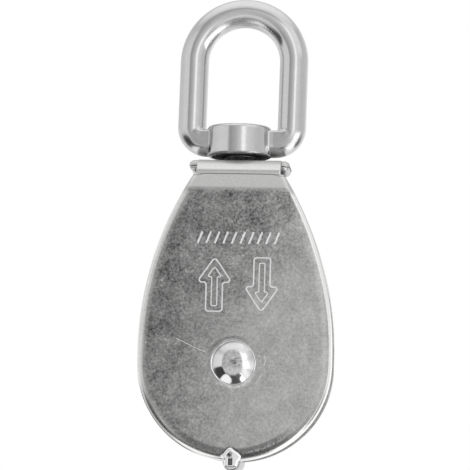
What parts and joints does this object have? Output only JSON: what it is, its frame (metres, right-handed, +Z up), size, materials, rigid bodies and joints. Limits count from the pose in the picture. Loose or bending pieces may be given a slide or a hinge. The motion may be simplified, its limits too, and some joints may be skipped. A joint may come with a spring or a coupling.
{
  "type": "swivel pulley",
  "caption": "Small steel pulley block: a grooved sheave on a riveted axle in a folded drop-shaped sheet shell, hung from a cast swivel eye.",
  "frame": {"origin": "centre of the eye's round upper end, where a shackle or hook bears", "axes": "+Z up along the swivel axis, from the axle to the eye; +Y along the sheave's axle, towards the back cheek; +X across the block, to the right seen from the front"},
  "size_m": [0.0514, 0.0282, 0.1262],
  "materials": {
    "sheet_steel": "matte tumbled sheet with bright rolled edges",
    "polished_steel": "polished",
    "plain_steel": "satin",
    "turned_steel": "turned",
    "bronze": "bearing bronze"
  },
  "bodies": {
    "eye": {"eye": "polished_steel", "swivel_pin": "plain_steel"},
    "housing": {"shell": "sheet_steel", "bridge_plate": "plain_steel", "swivel_washer": "plain_steel", "axle": "polished_steel", "axle_washer_front": "plain_steel", "axle_washer_rear": "plain_steel", "guard_rivet": "polished_steel", "guard_spacer": "plain_steel"},
    "sheave": {"sheave": "turned_steel", "sheave_bush": "bronze"}
  },
  "joints": [
    {"name": "swivel", "type": "hinge", "parent": "eye", "child": "housing", "pos_m": [0, 0, -0.0255], "axis": [0, 0, 1], "continuous": true},
    {"name": "sheave_spin", "type": "hinge", "parent": "housing", "child": "sheave", "pos_m": [0, 0, -0.081], "axis": [0, 1, 0], "continuous": true}
  ]
}
